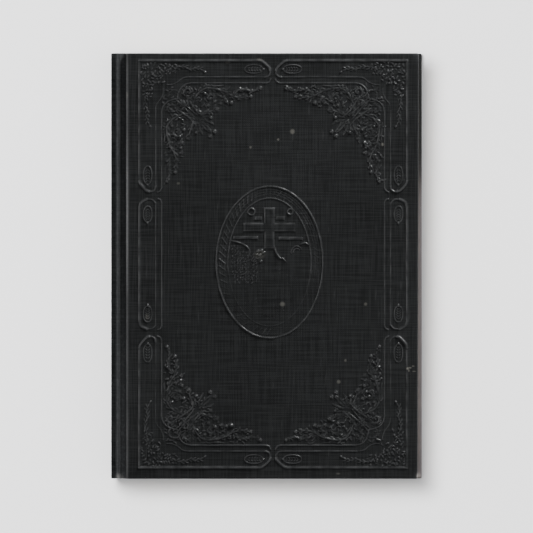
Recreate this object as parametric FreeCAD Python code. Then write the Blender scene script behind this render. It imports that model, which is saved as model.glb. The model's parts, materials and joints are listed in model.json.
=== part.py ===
"""A small cloth-bound hardback prayer book, closed and lying on its rear cover.

Case binding: two boards and a spine strip in one cloth, hung on a rounded, sewn text block by its
mull and its endpapers. Each separate piece of the book is written as a STEP file of its own.
Frame: +X from the spine to the fore-edge, +Y to the head, +Z up out of the front cover.
The origin is under the middle of the whole book, on the table it rests on. Millimetres.
"""
import FreeCAD, Part
import math
import os

V = FreeCAD.Vector
X_AXIS = V(1, 0, 0)
Y_AXIS = V(0, 1, 0)
Z_AXIS = V(0, 0, 1)

# Overall size.
COVER_HEIGHT = 171.0        # head to tail of both covers
BOOK_WIDTH = 125.0          # back of the spine to the fore-edge of the rear cover
BLOCK_THICKNESS = 16.0      # all ten sections pressed together
SQUARE = 3.0                # the covers stand out past the block by this much

# Boards, cloth and papers.
BOARD_THICKNESS = 2.2
CLOTH_THICKNESS = 0.35
TURN_IN_WIDTH = 14.0        # cloth folded over the board's inner face
PASTEDOWN_THICKNESS = 0.15
PASTEDOWN_MARGIN = 3.0      # cloth left showing around the pastedown
LEAF_THICKNESS = 0.12
LEAF_GAP = 0.05             # air between one loose leaf and the next
FRONT_LEAF_NAMES = ["leaf_5", "leaf_4", "leaf_3", "title_leaf", "front_flyleaf"]
REAR_LEAF_NAMES = ["last_leaf", "rear_flyleaf"]
MULL_THICKNESS = 0.3
MULL_FLANGE_WIDTH = 20.0
MULL_SHORTFALL = 12.0       # the mull stops short of the head and of the tail

# Spine.
SPINE_BULGE = 2.1           # how far the rounded back stands out from its two ridges
SPINE_CARD_THICKNESS = 0.8
SPINE_RIDGE_DROP = 0.8      # ridges of the spine lie this far below the cover's face
HOLLOW_GAP = 0.7            # air between the spine strip and the lined block
LINING_THICKNESS = 0.3
SEWING_THREAD_THICKNESS = 0.4
SEWING_THREAD_WIDTH = 0.6
SEWING_STATIONS = 6
SEWING_MARGIN = 12.0        # from the end of the block to the first station
HEADBAND_DEPTH = 2.0        # across the block's edge
HEADBAND_HEIGHT = 1.7       # along Y, standing on the block's head or tail
HEADBAND_ROUNDING = 0.7

# Joint of the case: a groove between the spine and each board.
HINGE_SETBACK = 2.6         # hinge line, from the back of the spine
BOARD_SETBACK = 6.3         # spine-side edge of both boards, from the back of the spine
LEAF_CLEAR_OF_HINGE = 3.7   # loose part of a leaf starts this far from the hinge line
GROOVE_DEPTH = 2.2          # floor of the groove below the cover's face

# Front cover.
FRONT_COVER_SHORTER = 1.3   # front cover stops short of the rear cover's fore-edge
FRONT_OUT_OF_SQUARE = 0.5   # and is this much narrower again at the tail
CORNER_RADIUS = 0.8

# Text block.
SECTION_COUNT = 10
SECTION_GAP = 0.04

# Raised decoration pressed into the front cover.
RELIEF_HEIGHT = 0.4
RELIEF_BITE = 0.1           # depth each raised line is sunk in the cloth, to be one with it
FRAME_LINE_WIDTH = 0.9
FRAME_TO_SPINE = 11.0       # outer frame line, from the back of the spine
FRAME_TO_FORE_EDGE = 4.3    # outer frame line, from the front cover's fore-edge
FRAME_TO_HEAD = 3.2
FRAME_TO_TAIL = 4.7
FRAME_BAND = 8.2            # width of the frame's panels
PANEL_HEIGHT_SHARE = 0.318  # height of a corner panel, as a share of the frame's
PANEL_WIDTH_SHARE = 0.49    # width of a corner panel, as a share of the frame's
PANEL_GAP = 3.3             # between a corner panel and the side panel next to it
PANEL_CHAMFER = 2.4
OVAL_WIDTH_SHARE = 0.40     # outside of the oval, as a share of the frame's width
OVAL_HEIGHT_SHARE = 0.375   # and of its height
OVAL_TOWARDS_SPINE = 1.2    # the oval sits off the frame's middle by this much
OVAL_TOWARDS_HEAD = 1.1
OVAL_BAND = 4.6
CROSS_HEIGHT_SHARE = 0.60   # of the oval's height
CROSS_WIDTH_SHARE = 0.52    # of the oval's width
CROSS_BAR = 3.8
CROSS_BAR_DROP = 0.28       # bar below the top of the cross, as a share of its height
SCROLL_RADII = [4.2, 6.8, 10.0]
SCROLL_SWEEP = 250.0        # degrees of each curl
SCROLL_LINE_WIDTH = 0.9
SCROLL_STEP = 9.0           # from one curl to the next, along the corner's diagonal
SCROLL_INSET = 9.0          # first curl's centre, from the inside of the frame

# Heights of the layers, from the table up.
COVER_THICKNESS = BOARD_THICKNESS + 2.0 * CLOTH_THICKNESS + PASTEDOWN_THICKNESS
LEAF_PITCH = LEAF_THICKNESS + LEAF_GAP
BLOCK_BOTTOM = COVER_THICKNESS + LEAF_GAP + len(REAR_LEAF_NAMES) * LEAF_PITCH
BLOCK_TOP = BLOCK_BOTTOM + BLOCK_THICKNESS
FRONT_INNER = BLOCK_TOP + LEAF_GAP + len(FRONT_LEAF_NAMES) * LEAF_PITCH
FRONT_FACE = FRONT_INNER + COVER_THICKNESS
MIDDLE_HEIGHT = 0.5 * FRONT_FACE

# Places across the book.
BACK_X = -0.5 * BOOK_WIDTH
REAR_FORE_X = 0.5 * BOOK_WIDTH
FRONT_FORE_X = REAR_FORE_X - FRONT_COVER_SHORTER
BOARD_X = BACK_X + BOARD_SETBACK
HINGE_X = BACK_X + HINGE_SETBACK
LEAF_X = HINGE_X + LEAF_CLEAR_OF_HINGE
COVER_Y = 0.5 * COVER_HEIGHT
BLOCK_Y = COVER_Y - SQUARE
BLOCK_FORE_X = FRONT_FORE_X - FRONT_OUT_OF_SQUARE - SQUARE

# The rounded back is part of a circle about SPINE_CENTRE.
RIDGE_HEIGHT = FRONT_FACE - SPINE_RIDGE_DROP - MIDDLE_HEIGHT
BACK_RADIUS = (RIDGE_HEIGHT ** 2 + SPINE_BULGE ** 2) / (2.0 * SPINE_BULGE)
SPINE_CENTRE = V(BACK_X + BACK_RADIUS, 0, MIDDLE_HEIGHT)
CARD_RADIUS = BACK_RADIUS - CLOTH_THICKNESS
LINING_RADIUS = CARD_RADIUS - SPINE_CARD_THICKNESS - HOLLOW_GAP
MULL_RADIUS = LINING_RADIUS - LINING_THICKNESS
THREAD_RADIUS = MULL_RADIUS - MULL_THICKNESS
BLOCK_RADIUS = THREAD_RADIUS - SEWING_THREAD_THICKNESS

# Places on the front cover's face.
FRAME_X0 = BACK_X + FRAME_TO_SPINE
FRAME_X1 = FRONT_FORE_X - FRONT_OUT_OF_SQUARE - FRAME_TO_FORE_EDGE
FRAME_Y0 = FRAME_TO_TAIL - COVER_Y
FRAME_Y1 = COVER_Y - FRAME_TO_HEAD
FRAME_MIDDLE = V(0.5 * (FRAME_X0 + FRAME_X1), 0.5 * (FRAME_Y0 + FRAME_Y1), 0)
OVAL_MIDDLE = FRAME_MIDDLE + V(-OVAL_TOWARDS_SPINE, OVAL_TOWARDS_HEAD, 0)
PANEL_WIDTH = PANEL_WIDTH_SHARE * (FRAME_X1 - FRAME_X0)
PANEL_HEIGHT = PANEL_HEIGHT_SHARE * (FRAME_Y1 - FRAME_Y0)
OVAL_WIDTH = OVAL_WIDTH_SHARE * (FRAME_X1 - FRAME_X0)
OVAL_HEIGHT = OVAL_HEIGHT_SHARE * (FRAME_Y1 - FRAME_Y0)
CROSS_WIDTH = CROSS_WIDTH_SHARE * OVAL_WIDTH
CROSS_HEIGHT = CROSS_HEIGHT_SHARE * OVAL_HEIGHT

PASTE_GAP = 0.05            # paste line around a sheet let into the cloth
CUT_PAST = 1.0              # how far a cutting solid runs past what it cuts


def box(x0, x1, y0, y1, z0, z1):
    """A block between two corners."""
    return Part.makeBox(x1 - x0, y1 - y0, z1 - z0, V(x0, y0, z0))


def plate(points, z0, z1):
    """A flat plate with the outline given by (x, y) points."""
    corners = [V(x, y, z0) for x, y in points]
    face = Part.Face(Part.makePolygon(corners + corners[:1]))
    return face.extrude(V(0, 0, z1 - z0))


def outline(points, width, z0, z1):
    """A raised line that runs just inside an outline of (x, y) points."""
    corners = [V(x, y, z0) for x, y in points]
    wire = Part.makePolygon(corners + corners[:1])
    inner = Part.Face(wire.makeOffset2D(-width))
    line = Part.Face(wire).cut(inner)
    return line.extrude(V(0, 0, z1 - z0))


def back_x(radius, z):
    """Where a layer of the rounded back lies at a height."""
    return SPINE_CENTRE.x - math.sqrt(radius ** 2 - (z - SPINE_CENTRE.z) ** 2)


def back_layer(inner_radius, outer_radius, y0, y1, z0, z1):
    """Part of a sheet that follows the rounded back, between two heights."""
    base = V(SPINE_CENTRE.x, y0, SPINE_CENTRE.z)
    outside = Part.makeCylinder(outer_radius, y1 - y0, base, Y_AXIS)
    inside = Part.makeCylinder(inner_radius, y1 - y0, base, Y_AXIS)
    window = box(BACK_X - CUT_PAST, SPINE_CENTRE.x - 0.5 * inner_radius, y0, y1, z0, z1)
    return outside.cut(inside).common(window)


def cover_outline(inset, spine_inset, fore_head, fore_tail):
    """Plan of a cover, drawn in from its three free sides and from its spine side."""
    x0 = BOARD_X + spine_inset
    y = COVER_Y - inset
    return [(x0, -y), (fore_tail - inset, -y), (fore_head - inset, y), (x0, y)]


def cover_cloth(fore_head, fore_tail):
    """Cloth over a board's face and three edges, and turned in over its inner side."""
    skin = plate(cover_outline(0.0, 0.0, fore_head, fore_tail), PASTEDOWN_THICKNESS, COVER_THICKNESS)
    corner_posts = [e for e in skin.Edges if e.Length < COVER_THICKNESS and e.BoundBox.XMax > 0]
    skin = skin.makeFillet(CORNER_RADIUS, corner_posts)
    board_room = board(fore_head, fore_tail)
    window = plate(
        cover_outline(TURN_IN_WIDTH, 0.0, fore_head, fore_tail),
        0.0,
        PASTEDOWN_THICKNESS + CLOTH_THICKNESS,
    )
    return skin.cut(board_room).cut(window)


def board(fore_head, fore_tail):
    """One board of the case, lying with its inner face down."""
    low = PASTEDOWN_THICKNESS + CLOTH_THICKNESS
    return plate(cover_outline(CLOTH_THICKNESS, 0.0, fore_head, fore_tail), low, low + BOARD_THICKNESS)


def mull_flange():
    """Open-weave flange that ties the block to a board, under the pastedown."""
    top = PASTEDOWN_THICKNESS + CLOTH_THICKNESS
    reach = BLOCK_Y - MULL_SHORTFALL
    x1 = BOARD_X + MULL_FLANGE_WIDTH
    return box(BOARD_X, x1, -reach, reach, top - MULL_THICKNESS, top)


def pastedown(fore_head, fore_tail):
    """End sheet on the inside of a cover, filling the space that the turn-ins leave."""
    sheet = plate(cover_outline(PASTEDOWN_MARGIN, 0.0, fore_head, fore_tail), 0.0, PASTEDOWN_THICKNESS)
    filling = plate(
        cover_outline(TURN_IN_WIDTH + PASTE_GAP, 0.0, fore_head, fore_tail),
        0.0,
        PASTEDOWN_THICKNESS + CLOTH_THICKNESS,
    )
    return sheet.fuse(filling).cut(mull_flange()).removeSplitter()


def corner_panel():
    """Outline of the L-shaped panel in the head and spine corner, with its ends cut off."""
    x1 = FRAME_X0 + PANEL_WIDTH
    y0 = FRAME_Y1 - PANEL_HEIGHT
    c = PANEL_CHAMFER
    return [
        (FRAME_X0, FRAME_Y1),
        (x1 - c, FRAME_Y1),
        (x1, FRAME_Y1 - c),
        (x1, FRAME_Y1 - FRAME_BAND),
        (FRAME_X0 + FRAME_BAND, FRAME_Y1 - FRAME_BAND),
        (FRAME_X0 + FRAME_BAND, y0),
        (FRAME_X0 + c, y0),
        (FRAME_X0, y0 + c),
    ]


def side_panel():
    """Outline of the panel halfway down the spine side."""
    x1 = FRAME_X0 + FRAME_BAND
    y0 = FRAME_Y0 + PANEL_HEIGHT + PANEL_GAP
    y1 = FRAME_Y1 - PANEL_HEIGHT - PANEL_GAP
    c = PANEL_CHAMFER
    return [(FRAME_X0, y0 + c), (FRAME_X0 + c, y0), (x1, y0), (x1, y1), (FRAME_X0 + c, y1), (FRAME_X0, y1 - c)]


def cross_plan():
    """Outline of a Latin cross with a foot that widens."""
    half = 0.5 * CROSS_BAR
    top = OVAL_MIDDLE.y + 0.5 * CROSS_HEIGHT
    bar_top = top - CROSS_BAR_DROP * CROSS_HEIGHT
    bar_low = bar_top - CROSS_BAR
    foot = top - CROSS_HEIGHT
    right = [
        (half, top),
        (half, bar_top),
        (0.5 * CROSS_WIDTH, bar_top),
        (0.5 * CROSS_WIDTH, bar_low),
        (half, bar_low),
        (CROSS_BAR, foot),
    ]
    left = [(-x, y) for x, y in reversed(right)]
    return [(OVAL_MIDDLE.x + x, y) for x, y in right + left]


def oval_ring(shrink, width, z0, z1):
    """Raised oval line, drawn in from the outside of the medallion."""
    faces = []
    for inset in (shrink, shrink + width):
        ellipse = Part.Ellipse(
            OVAL_MIDDLE + V(0, 0.5 * OVAL_HEIGHT - inset, z0),
            OVAL_MIDDLE + V(0.5 * OVAL_WIDTH - inset, 0, z0),
            OVAL_MIDDLE + V(0, 0, z0),
        )
        faces.append(Part.Face(Part.Wire(ellipse.toShape())))
    return faces[0].cut(faces[1]).extrude(V(0, 0, z1 - z0))


def curl(centre, radius, start, z0, z1):
    """An open curl of raised line."""
    disc = Part.makeCylinder(radius, z1 - z0, centre + V(0, 0, z0), Z_AXIS, SCROLL_SWEEP)
    middle = Part.makeCylinder(radius - SCROLL_LINE_WIDTH, z1 - z0, centre + V(0, 0, z0), Z_AXIS)
    line = disc.cut(middle)
    line.rotate(centre, Z_AXIS, start)
    return line


def corner_scroll(z0, z1):
    """Curls that step from the head and spine corner towards the medallion."""
    curls = []
    corner = V(FRAME_X0 + FRAME_BAND + SCROLL_INSET, FRAME_Y1 - FRAME_BAND - SCROLL_INSET, 0)
    for step, radius in enumerate(SCROLL_RADII):
        centre = corner + V(step * SCROLL_STEP, -step * SCROLL_STEP, 0)
        curls.append(curl(centre, radius, -45.0 + 180.0 * (step % 2), z0, z1))
    return curls


def front_relief():
    """All the raised lines of the front cover, a little sunk into its cloth."""
    z0 = COVER_THICKNESS - RELIEF_BITE
    z1 = COVER_THICKNESS + RELIEF_HEIGHT
    corner = [outline(corner_panel(), FRAME_LINE_WIDTH, z0, z1)] + corner_scroll(z0, z1)
    side = [outline(side_panel(), FRAME_LINE_WIDTH, z0, z1)]
    lines = []
    for line in corner:
        lines.append(line)
        lines.append(line.mirror(FRAME_MIDDLE, X_AXIS))
        lines.append(line.mirror(FRAME_MIDDLE, Y_AXIS))
        lines.append(line.mirror(FRAME_MIDDLE, X_AXIS).mirror(FRAME_MIDDLE, Y_AXIS))
    for line in side:
        lines.append(line)
        lines.append(line.mirror(FRAME_MIDDLE, X_AXIS))
    lines.append(oval_ring(0.0, FRAME_LINE_WIDTH, z0, z1))
    lines.append(oval_ring(OVAL_BAND, FRAME_LINE_WIDTH, z0, z1))
    lines.append(plate(cross_plan(), z0, z1))
    return lines


def joint_cloth():
    """Cloth of the front groove, from the ridge of the spine down and up to the board's edge."""
    t = CLOTH_THICKNESS
    ridge_x = BACK_X + SPINE_BULGE
    ridge_z = MIDDLE_HEIGHT + RIDGE_HEIGHT
    turn_in_radius = LINING_RADIUS + HOLLOW_GAP - t
    wall_x = back_x(turn_in_radius, ridge_z) + PASTE_GAP
    floor_z = FRONT_FACE - GROOVE_DEPTH
    edge_x = BOARD_X - PASTE_GAP
    lip_z = FRONT_FACE - PASTE_GAP
    profile = [
        (ridge_x, ridge_z),
        (ridge_x, ridge_z + t),
        (wall_x + t, ridge_z + t),
        (wall_x + 2.0 * t, floor_z + t),
        (edge_x - 1.5 * t, floor_z + t),
        (edge_x - t, lip_z),
        (edge_x, lip_z),
        (edge_x, floor_z),
        (wall_x + t, floor_z),
        (wall_x, ridge_z),
    ]
    corners = [V(x, -COVER_Y, z) for x, z in profile]
    face = Part.Face(Part.makePolygon(corners + corners[:1]))
    return face.extrude(V(0, COVER_HEIGHT, 0))


def spine_cloth():
    """Cloth over the spine strip, turned in over both its ends."""
    z0 = MIDDLE_HEIGHT - RIDGE_HEIGHT
    z1 = MIDDLE_HEIGHT + RIDGE_HEIGHT
    inner_face = CARD_RADIUS - SPINE_CARD_THICKNESS
    cloth = back_layer(CARD_RADIUS, BACK_RADIUS, -COVER_Y, COVER_Y, z0, z1)
    end = COVER_Y - CLOTH_THICKNESS
    turn = COVER_Y - TURN_IN_WIDTH
    cap = back_layer(inner_face - CLOTH_THICKNESS, CARD_RADIUS, end, COVER_Y, z0, z1)
    lap = back_layer(inner_face - CLOTH_THICKNESS, inner_face, turn, end, z0, z1)
    head = [cap, lap]
    tail = [piece.mirror(V(0, 0, 0), Y_AXIS) for piece in head]
    return cloth.multiFuse(head + tail).removeSplitter()


def spine_strip():
    """Curved card that stiffens the spine of the case."""
    end = COVER_Y - CLOTH_THICKNESS
    z0 = MIDDLE_HEIGHT - RIDGE_HEIGHT
    z1 = MIDDLE_HEIGHT + RIDGE_HEIGHT
    return back_layer(CARD_RADIUS - SPINE_CARD_THICKNESS, CARD_RADIUS, -end, end, z0, z1)


def section(index):
    """One folded gathering of leaves, its fold rounded and its fore-edge set in like its fold."""
    pitch = BLOCK_THICKNESS / SECTION_COUNT
    z0 = BLOCK_BOTTOM + index * pitch + 0.5 * SECTION_GAP
    z1 = z0 + pitch - SECTION_GAP
    zm = 0.5 * (z0 + z1)
    width = BLOCK_FORE_X - back_x(BLOCK_RADIUS, BLOCK_TOP)
    fold = 0.3 * pitch
    low_back = V(back_x(BLOCK_RADIUS, z0) + fold, -BLOCK_Y, z0)
    mid_back = V(back_x(BLOCK_RADIUS, zm), -BLOCK_Y, zm)
    high_back = V(back_x(BLOCK_RADIUS, z1) + fold, -BLOCK_Y, z1)
    low_fore = V(back_x(BLOCK_RADIUS, z0) + width, -BLOCK_Y, z0)
    mid_fore = V(back_x(BLOCK_RADIUS, zm) + width, -BLOCK_Y, zm)
    high_fore = V(back_x(BLOCK_RADIUS, z1) + width, -BLOCK_Y, z1)
    edges = [
        Part.makeLine(low_back, low_fore),
        Part.Arc(low_fore, mid_fore, high_fore).toShape(),
        Part.makeLine(high_fore, high_back),
        Part.Arc(high_back, mid_back, low_back).toShape(),
    ]
    return Part.Face(Part.Wire(edges)).extrude(V(0, 2.0 * BLOCK_Y, 0))


def sewing_threads():
    """Bands of sewing thread across the folds, one at each sewing station."""
    bands = []
    step = 2.0 * (BLOCK_Y - SEWING_MARGIN) / (SEWING_STATIONS - 1)
    inner = BLOCK_RADIUS + PASTE_GAP
    for station in range(SEWING_STATIONS):
        y0 = station * step - BLOCK_Y + SEWING_MARGIN - 0.5 * SEWING_THREAD_WIDTH
        y1 = y0 + SEWING_THREAD_WIDTH
        bands.append(back_layer(inner, THREAD_RADIUS, y0, y1, BLOCK_BOTTOM, BLOCK_TOP))
    return Part.makeCompound([solid for band in bands for solid in band.Solids])


def end_band(y0):
    """Worked band that stands on the block's end, against the spine."""
    band = back_layer(
        MULL_RADIUS - HEADBAND_DEPTH,
        MULL_RADIUS,
        y0,
        y0 + HEADBAND_HEIGHT,
        BLOCK_BOTTOM,
        BLOCK_TOP,
    )
    free_end = y0 + HEADBAND_HEIGHT
    long_edge = 0.5 * BLOCK_THICKNESS
    rims = [e for e in band.Edges if e.BoundBox.YMin > free_end - PASTE_GAP and e.Length > long_edge]
    return band.makeFillet(HEADBAND_ROUNDING, rims)


def leaf(z0):
    """One loose leaf, from where it starts to lift to the fore-edge."""
    return box(LEAF_X, BLOCK_FORE_X, -BLOCK_Y, BLOCK_Y, z0, z0 + LEAF_THICKNESS)


def place_front(shape):
    """Lay a cover's piece on top of the block."""
    placed = shape.copy()
    placed.translate(V(0, 0, FRONT_INNER))
    return placed


def place_rear(shape):
    """Turn a cover's piece over and lay it under the block."""
    placed = shape.mirror(V(0, 0, 0), Z_AXIS)
    placed.translate(V(0, 0, COVER_THICKNESS))
    return placed


def write(name, shape):
    """Save one piece as a STEP file."""
    shape.exportStep("parts/" + name + ".step")


os.makedirs("parts", exist_ok=True)

front_ends = (FRONT_FORE_X, FRONT_FORE_X - FRONT_OUT_OF_SQUARE)
rear_ends = (REAR_FORE_X, REAR_FORE_X)

for index in range(SECTION_COUNT):
    write("section_%02d" % (index + 1), section(index))
write("sewing_threads", sewing_threads())
mull_reach = BLOCK_Y - MULL_SHORTFALL
write("spine_mull", back_layer(THREAD_RADIUS, MULL_RADIUS, -mull_reach, mull_reach, BLOCK_BOTTOM, BLOCK_TOP))
write("spine_lining", back_layer(MULL_RADIUS, LINING_RADIUS, -BLOCK_Y, BLOCK_Y, BLOCK_BOTTOM, BLOCK_TOP))
write("headband", end_band(BLOCK_Y))
write("tailband", end_band(BLOCK_Y).mirror(V(0, 0, 0), Y_AXIS))
write("spine_strip", spine_strip())
write("spine_cloth", spine_cloth())

write("front_board", place_front(board(*front_ends)))
write("front_cover_cloth", place_front(cover_cloth(*front_ends).multiFuse(front_relief())))
write("front_mull_flange", place_front(mull_flange()))
write("front_pastedown", place_front(pastedown(*front_ends)))
write("front_joint_cloth", joint_cloth())

write("rear_board", place_rear(board(*rear_ends)))
write("rear_cover_cloth", place_rear(cover_cloth(*rear_ends)))
write("rear_mull_flange", place_rear(mull_flange()))
write("rear_pastedown", place_rear(pastedown(*rear_ends)))
write("rear_joint_cloth", joint_cloth().mirror(V(0, 0, MIDDLE_HEIGHT), Z_AXIS))

for index, name in enumerate(FRONT_LEAF_NAMES):
    write(name, leaf(BLOCK_TOP + LEAF_GAP + index * LEAF_PITCH))
for index, name in enumerate(REAR_LEAF_NAMES):
    write(name, leaf(BLOCK_BOTTOM - (index + 1) * LEAF_PITCH))
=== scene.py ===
import bpy
import json
import math
from functools import partialmethod
import numpy as np
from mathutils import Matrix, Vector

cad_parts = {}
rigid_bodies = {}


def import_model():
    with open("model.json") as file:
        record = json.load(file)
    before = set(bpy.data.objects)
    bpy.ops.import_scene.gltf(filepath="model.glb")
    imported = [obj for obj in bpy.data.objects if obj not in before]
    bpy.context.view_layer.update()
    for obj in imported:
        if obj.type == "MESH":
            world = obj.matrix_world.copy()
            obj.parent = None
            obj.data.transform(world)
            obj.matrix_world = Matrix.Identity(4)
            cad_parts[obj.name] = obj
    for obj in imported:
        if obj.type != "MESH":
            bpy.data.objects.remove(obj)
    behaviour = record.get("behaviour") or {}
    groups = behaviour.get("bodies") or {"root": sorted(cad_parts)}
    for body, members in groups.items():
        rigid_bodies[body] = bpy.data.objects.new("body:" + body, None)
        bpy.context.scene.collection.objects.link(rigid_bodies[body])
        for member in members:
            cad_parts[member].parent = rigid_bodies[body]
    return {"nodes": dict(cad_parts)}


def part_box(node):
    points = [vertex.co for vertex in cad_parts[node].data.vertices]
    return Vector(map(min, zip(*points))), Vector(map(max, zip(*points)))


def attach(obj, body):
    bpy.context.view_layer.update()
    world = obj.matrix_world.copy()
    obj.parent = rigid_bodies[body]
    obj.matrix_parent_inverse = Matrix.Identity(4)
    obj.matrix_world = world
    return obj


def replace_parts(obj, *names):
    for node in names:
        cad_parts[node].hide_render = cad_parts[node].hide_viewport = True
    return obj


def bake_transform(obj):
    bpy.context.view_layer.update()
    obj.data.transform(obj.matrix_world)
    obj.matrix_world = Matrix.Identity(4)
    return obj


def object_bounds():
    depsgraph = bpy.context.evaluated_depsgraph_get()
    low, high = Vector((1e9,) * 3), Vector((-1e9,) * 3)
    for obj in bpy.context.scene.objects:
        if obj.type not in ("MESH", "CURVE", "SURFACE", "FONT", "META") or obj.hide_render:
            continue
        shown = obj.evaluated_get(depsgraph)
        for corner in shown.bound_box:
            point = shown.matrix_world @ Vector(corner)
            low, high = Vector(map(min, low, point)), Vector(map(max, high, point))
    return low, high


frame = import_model()
cad_low, cad_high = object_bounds()
MM = 0.001


# ------------------------------
# Text block. Ten folded gatherings of thin book paper, sewn through their folds. The folds make
# the rounded back and the trimmed edges make a hollow fore-edge. The mull is glued to its back.
class Value:
    """One output inside a material, so that sums written with it add Math nodes."""

    def __init__(self, paint, socket):
        self.paint = paint
        self.socket = socket

    def math(self, operation, *others):
        return self.paint.node("ShaderNodeMath", {"operation": operation}, [self, *others])

    def __rsub__(self, other):
        return self.paint.node("ShaderNodeMath", {"operation": "SUBTRACT"}, [other, self])

    __add__ = __radd__ = partialmethod(math, "ADD")
    __mul__ = __rmul__ = partialmethod(math, "MULTIPLY")
    __sub__ = partialmethod(math, "SUBTRACT")
    __truediv__ = partialmethod(math, "DIVIDE")
    __pow__ = partialmethod(math, "POWER")

    def ramp(self, low, high):
        """0 below low, 1 above high, smooth between; the other way round when low is above high."""
        inputs = {"Value": self, "From Min": low, "From Max": high, "To Min": 0.0, "To Max": 1.0}
        return self.paint.node("ShaderNodeMapRange", {"interpolation_type": "SMOOTHSTEP"}, inputs)


class Paint:
    """A material while it is being made."""

    def __init__(self, name, roughness=0.8, specular=0.3):
        self.material = bpy.data.materials.new(name)
        self.material.use_nodes = True
        self.tree = self.material.node_tree
        self.shader = self.tree.nodes["Principled BSDF"]
        self.shader.inputs["Roughness"].default_value = roughness
        self.shader.inputs["Specular IOR Level"].default_value = specular

    def node(self, kind, settings=None, inputs=(), output=0):
        made = self.tree.nodes.new(kind)
        for key, value in (settings or {}).items():
            setattr(made, key, value)
        for key, value in inputs.items() if isinstance(inputs, dict) else enumerate(inputs):
            if isinstance(value, Value):
                self.tree.links.new(value.socket, made.inputs[key])
            else:
                made.inputs[key].default_value = value
        return Value(self, made.outputs[output])

    def place(self):
        return self.node("ShaderNodeTexCoord", output="Object")

    def axes(self, place):
        return [self.node("ShaderNodeSeparateXYZ", None, [place], axis) for axis in "XYZ"]

    def vector(self, x, y, z):
        return self.node("ShaderNodeCombineXYZ", None, [x, y, z])

    def noise(self, vector, scale, detail=2.0):
        inputs = {"Vector": vector, "Scale": scale, "Detail": detail}
        return self.node("ShaderNodeTexNoise", None, inputs, "Fac")

    def attribute(self, name):
        return self.node("ShaderNodeAttribute", {"attribute_name": name}, (), "Fac")

    def mix(self, share, first, second):
        return self.node("ShaderNodeMix", {"data_type": "RGBA"}, {0: share, 6: first, 7: second}, 2)

    def put(self, name, value):
        self.tree.links.new(value.socket, self.shader.inputs[name])

    def bump(self, height, depth, strength):
        """Surface relief; height runs from 0 to 1 and depth is its size in metres."""
        inputs = {"Strength": strength, "Distance": depth, "Height": height}
        self.put("Normal", self.node("ShaderNodeBump", None, inputs, "Normal"))


def paper_paint(name, colour, edge_colour, leaf_pitch):
    """Thin paper: faint fibre clouds, and a darker rim where it was trimmed, leaf by leaf."""
    paint = Paint(name, roughness=0.85, specular=0.2)
    place = paint.place()
    x, y, z = paint.axes(place)
    clouds = paint.noise(place, 55.0, 4.0)
    fibres = paint.noise(place, 2600.0, 2.0)
    leaves = paint.noise(paint.vector(x * 6.0, y * 6.0, z / leaf_pitch), 1.0, 1.0)
    rim = paint.attribute("rim")
    body = paint.mix(clouds.ramp(0.3, 0.75) * 0.35, colour, [c * 0.9 for c in colour[:3]] + [1.0])
    body = paint.mix(rim * (0.35 + 0.65 * leaves.ramp(0.3, 0.7)), body, edge_colour)
    paint.put("Base Color", body)
    paint.bump(fibres, 0.02 * MM, 0.5)
    return paint.material


def closed_mesh(name, points, faces, material, smooth=True, **attributes):
    """An object from an array of points and a list of faces. Each attribute has one number per
    point, kept between 0 and 1."""
    mesh = bpy.data.meshes.new(name)
    mesh.from_pydata(np.asarray(points, float).tolist(), [], faces)
    for key, values in attributes.items():
        layer = mesh.attributes.new(key, "FLOAT", "POINT")
        layer.data.foreach_set("value", np.clip(np.asarray(values, float).ravel(), 0.0, 1.0))
    mesh.polygons.foreach_set("use_smooth", np.full(len(mesh.polygons), smooth))
    mesh.materials.append(material)
    mesh.update()
    thing = bpy.data.objects.new(name, mesh)
    bpy.context.scene.collection.objects.link(thing)
    return thing


def grid_faces(rows, columns, wrap=False, flip=False):
    """Quads between neighbours in a grid of points, facing column step x row step; flip turns them
    over, and wrap joins the last column to the first."""
    across = columns if wrap else columns - 1
    row, column = np.meshgrid(np.arange(rows - 1), np.arange(across), indexing="ij")
    beside = (column + 1) % columns
    near, far = row * columns, (row + 1) * columns
    quads = np.stack([near + column, near + beside, far + beside, far + column], axis=-1)
    return quads.reshape(-1, 4)[:, :: -1 if flip else 1].tolist()


section_names = ["section_%02d" % number for number in range(1, 11)]
section_boxes = [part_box(name) for name in section_names]
block_bottom, block_top = section_boxes[0][0].z, section_boxes[-1][1].z
block_half = section_boxes[0][1].y
section_middles = [0.5 * (low.z + high.z) for low, high in section_boxes]
# The back of the block and its fore-edge are both read off the sections as smooth curves of height.
back_curve = np.polyfit(section_middles, [low.x for low, high in section_boxes], 2)
fore_curve = np.polyfit(section_middles, [high.x for low, high in section_boxes], 2)
LEAVES_PER_SECTION = 16
LEAF_PITCH = 0.0975 * MM
LEAF_SIDE_POINTS = 14
FOLD_ROUNDING = 0.45 * MM
TRIM_WANDER = 0.035 * MM
RIM_INSET = 0.035 * MM
chance = np.random.default_rng(11)

paper_tone, paper_edge = (0.74, 0.68, 0.55, 1.0), (0.55, 0.46, 0.32, 1.0)
block_paper = paper_paint("book_paper", paper_tone, paper_edge, LEAF_PITCH)


def leaf_outline(low, high):
    """Plan outline of a leaf: four straight sides, points packed to the ends as (1 - cos) / 2."""
    t = 0.5 * (1.0 - np.cos(np.linspace(0.0, np.pi, LEAF_SIDE_POINTS)))[:-1]
    run_x, run_y, still = (high[0] - low[0]) * t, (high[1] - low[1]) * t, np.ones(t.size)
    xs = np.concatenate([low[0] + run_x, high[0] * still, high[0] - run_x, low[0] * still])
    ys = np.concatenate([low[1] * still, low[1] + run_y, high[1] * still, high[1] - run_y])
    return xs, ys


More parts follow.
